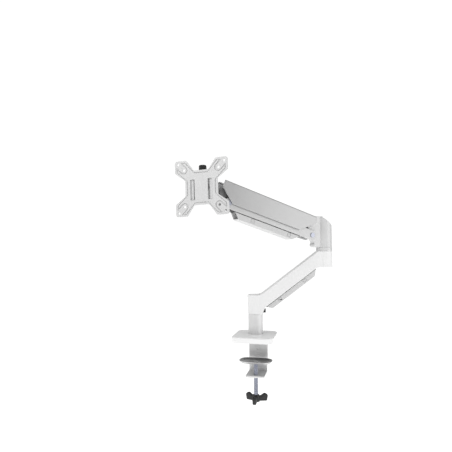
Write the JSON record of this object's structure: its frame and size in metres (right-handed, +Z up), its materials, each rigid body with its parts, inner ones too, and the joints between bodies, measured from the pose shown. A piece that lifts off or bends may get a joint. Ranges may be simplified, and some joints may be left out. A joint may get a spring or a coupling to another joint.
{
  "type": "monitor arm",
  "caption": "Desk-clamped monitor arm: a swivelling lower arm, a gas-spring parallel-link upper arm and a panning, tilting head with a VESA plate.",
  "frame": {"origin": "on the pole's axis at the desk's surface, the centre of the desk pad's underside", "axes": "+Z up along the pole, +X along the desk's rear edge, +Y away from the user"},
  "size_m": [0.3127, 0.2819, 0.5477],
  "materials": {
    "gloss_white": "glossy moulded plastic",
    "white_paint": "fine satin powder coat",
    "silver_paint": "satin silver coat",
    "link_paint": "satin silver coat",
    "plate_paint": "satin silver coat",
    "pale_plastic": "matte moulded plastic",
    "satin_steel": "satin plated steel",
    "brushed_pole": "satin tube drawn along its axis",
    "blue_steel": "bright zinc plate",
    "dark_metal": "dark grey satin coat",
    "black_oxide": "black satin",
    "black_plastic": "matte moulded plastic",
    "nylon": "natural nylon",
    "rubber": "matte rubber sheet"
  },
  "bodies": {
    "base": {"base_cover": "gloss_white", "desk_pad": "rubber", "top_bracket": "satin_steel", "lower_bracket": "satin_steel", "bracket_bolt_upper": "satin_steel", "bracket_bolt_lower": "satin_steel", "pole_screw": "satin_steel", "pole": "brushed_pole", "pole_spindle": "satin_steel", "pole_washer": "satin_steel", "pole_retaining_screw": "satin_steel"},
    "clamp_pad": {"pressure_dish": "satin_steel"},
    "clamp_screw": {"clamp_screw": "blue_steel", "wing_knob": "black_plastic", "dish_rivet": "satin_steel"},
    "lower_arm": {"lower_arm_shell": "white_paint", "pole_cap": "white_paint", "pole_bush_lower": "nylon", "pole_bush_upper": "nylon", "elbow_bush": "nylon"},
    "friction_screw": {"friction_screw": "black_oxide"},
    "lower_cable_cover": {"lower_cable_cover": "pale_plastic"},
    "elbow": {"elbow_ring": "pale_plastic", "elbow_spindle": "satin_steel", "elbow_washer": "satin_steel", "elbow_retaining_screw": "satin_steel", "elbow_knuckle": "silver_paint", "spring_anchor_pin": "satin_steel", "elbow_upper_pin": "blue_steel", "elbow_lower_pin": "blue_steel"},
    "tension_screw": {"tension_screw": "black_oxide"},
    "tension_block": {"tension_block": "satin_steel"},
    "upper_arm": {"upper_arm_cover": "silver_paint", "upper_link": "satin_steel", "gas_cylinder": "black_oxide", "spring_head_pin": "satin_steel"},
    "gas_rod": {"gas_rod": "blue_steel"},
    "lower_link": {"lower_link": "link_paint"},
    "upper_cable_cover": {"upper_cable_cover": "pale_plastic"},
    "head": {"head_knuckle": "dark_metal", "head_upper_pin": "blue_steel", "head_lower_pin": "blue_steel"},
    "pan": {"pan_yoke": "dark_metal", "pan_spindle": "blue_steel", "pan_nut": "satin_steel", "pan_washer_upper": "nylon", "pan_washer_lower": "nylon"},
    "tilt": {"tilt_bracket": "dark_metal", "tilt_bolt": "blue_steel", "tilt_nut": "blue_steel", "tilt_washer_left": "nylon", "tilt_washer_right": "nylon", "rotation_hub": "black_plastic", "hub_bolt": "satin_steel", "hub_nut": "satin_steel"},
    "plate": {"quick_release_frame": "plate_paint", "vesa_plate": "plate_paint"},
    "release_knob": {"release_knob": "black_plastic"}
  },
  "joints": [
    {"name": "pole_swivel", "type": "hinge", "parent": "base", "child": "lower_arm", "pos_m": [0, 0, 0.08], "axis": [0, 0, 1], "range_deg": [-180, 180]},
    {"name": "friction_screw_turn", "type": "hinge", "parent": "lower_arm", "child": "friction_screw", "pos_m": [0.01663, 0.00352, 0.0675], "axis": [0.9784, 0.2069, 0], "range_deg": [-360, 360]},
    {"name": "lower_cover_clip", "type": "slide", "parent": "lower_arm", "child": "lower_cable_cover", "axis": [0.5913, 0.125, -0.7967], "range_m": [0, 0.02]},
    {"name": "elbow_swivel", "type": "hinge", "parent": "lower_arm", "child": "elbow", "pos_m": [0.16407, 0.03469, 0.2], "axis": [0, 0, 1], "range_deg": [-180, 180]},
    {"name": "tension_block_travel", "type": "slide", "parent": "elbow", "child": "tension_block", "axis": [0, 0, 1], "range_m": [-0.005, 0.005]},
    {"name": "tension_screw_turn", "type": "hinge", "parent": "elbow", "child": "tension_screw", "pos_m": [0.14179, 0.01613, 0.27], "axis": [0, 0, 1], "range_deg": [-1802, 1802]},
    {"name": "arm_lift", "type": "hinge", "parent": "elbow", "child": "upper_arm", "pos_m": [0.12873, 0.00525, 0.283], "axis": [-0.6401, 0.7683, 0], "range_deg": [-51, 24]},
    {"name": "lower_link_swing", "type": "hinge", "parent": "elbow", "child": "lower_link", "pos_m": [0.12873, 0.00525, 0.249], "axis": [-0.6401, 0.7683, 0], "range_deg": [-51.01, 24.01]},
    {"name": "head_level", "type": "hinge", "parent": "upper_arm", "child": "head", "pos_m": [-0.04061, -0.13584, 0.34871], "axis": [-0.6401, 0.7683, 0], "range_deg": [-24.01, 51.01]},
    {"name": "gas_rod_slide", "type": "slide", "parent": "upper_arm", "child": "gas_rod", "axis": [0.7215, 0.6012, -0.3435], "range_m": [-0.01463, 0.00689]},
    {"name": "upper_cover_clip", "type": "slide", "parent": "lower_link", "child": "upper_cable_cover", "axis": [-0.2195, -0.1829, -0.9583], "range_m": [0, 0.02]},
    {"name": "head_pan", "type": "hinge", "parent": "head", "child": "pan", "pos_m": [-0.06366, -0.15504, 0.34871], "axis": [0, 0, 1], "range_deg": [-134.2, 45.8]},
    {"name": "head_tilt", "type": "hinge", "parent": "pan", "child": "tilt", "pos_m": [-0.06763, -0.19283, 0.33961], "axis": [-0.9945, 0.1045, 0], "range_deg": [-35, 50]},
    {"name": "plate_rotate", "type": "hinge", "parent": "tilt", "child": "plate", "pos_m": [-0.06972, -0.21272, 0.33961], "axis": [-0.1045, -0.9945, 0], "range_deg": [-180, 180]},
    {"name": "release_pull", "type": "slide", "parent": "plate", "child": "release_knob", "axis": [-0.0347, 0.0036, 0.9994], "range_m": [0, 0.004], "stiffness_N_per_m": 900},
    {"name": "clamp_travel", "type": "slide", "parent": "base", "child": "clamp_pad", "axis": [0, 0, 1], "range_m": [-0.025, 0.038]},
    {"name": "clamp_screw_turn", "type": "hinge", "parent": "clamp_pad", "child": "clamp_screw", "pos_m": [0, 0, -0.1], "axis": [0, 0, 1], "range_deg": [-6005, 9130]}
  ],
  "couplings": [
    {"joint": "tension_screw_turn", "follows": "tension_block_travel", "rad_per_m": 6283.2},
    {"joint": "lower_link_swing", "follows": "arm_lift", "ratio": 1},
    {"joint": "head_level", "follows": "arm_lift", "ratio": -1},
    {"joint": "gas_rod_slide", "follows": "arm_lift", "m_per_rad": 0.016424},
    {"joint": "clamp_screw_turn", "follows": "clamp_travel", "rad_per_m": 4188.8}
  ]
}
